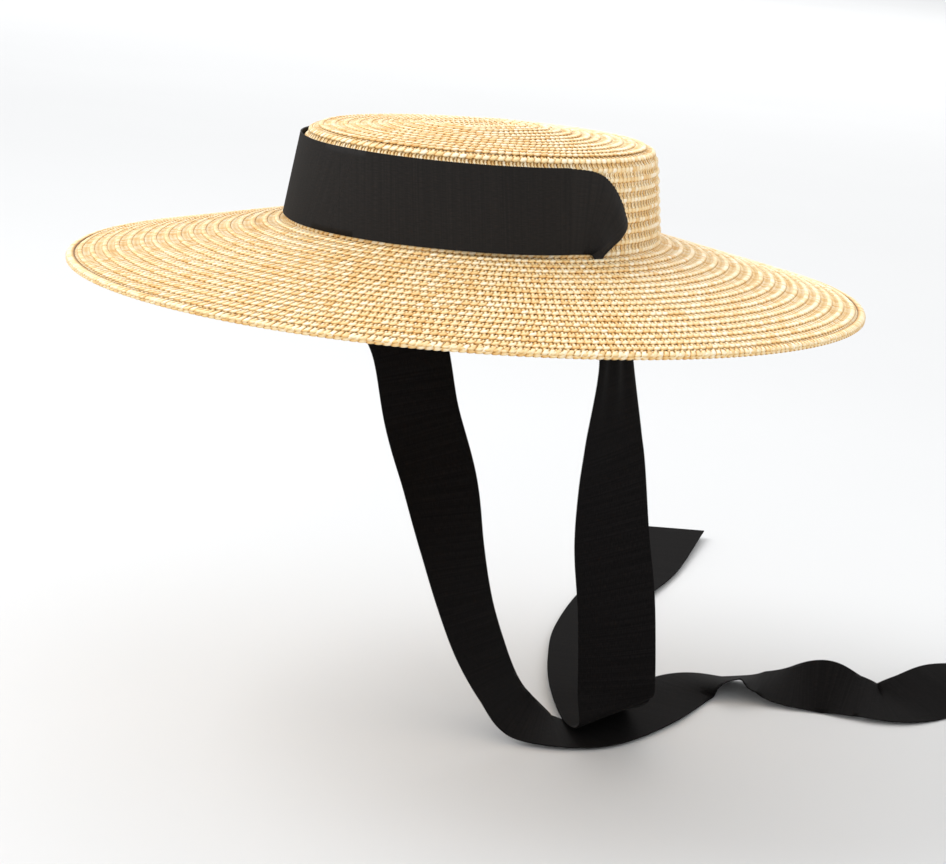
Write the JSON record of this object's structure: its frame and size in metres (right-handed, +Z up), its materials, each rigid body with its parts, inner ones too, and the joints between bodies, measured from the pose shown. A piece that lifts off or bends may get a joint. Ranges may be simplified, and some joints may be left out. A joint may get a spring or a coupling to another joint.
{
  "type": "straw boater hat",
  "caption": "Wide-brimmed, low-crowned hat of sewn straw plait with a black ribbon threaded through side slits and hanging as two long ties.",
  "frame": {"origin": "centre of the head opening, level with the fold where the crown meets the brim", "axes": "+Z up the crown, -Y towards the front of the hat, +X towards the wearer's left"},
  "size_m": [0.3918, 0.6532, 0.3149],
  "materials": {
    "straw_plait": "natural wheat straw, plaited and sewn, softly glossy",
    "grosgrain": "black grosgrain ribbon with fine cross ribs",
    "cotton_tape": "plain cotton tape",
    "label_satin": "woven satin with nothing on it",
    "sewing_thread": "spun cotton thread",
    "ribbon_thread": "black spun thread"
  },
  "bodies": {
    "root": {"crown_tip": "straw_plait", "crown_side": "straw_plait", "brim": "straw_plait", "brim_edge_row": "straw_plait", "ribbon_band": "grosgrain", "ribbon_tie_left": "grosgrain", "ribbon_tie_right": "grosgrain", "sweatband": "cotton_tape", "sweatband_join_tape": "cotton_tape", "blank_label": "label_satin", "sweatband_stitching": "sewing_thread", "ribbon_tacks": "ribbon_thread"}
  },
  "joints": []
}
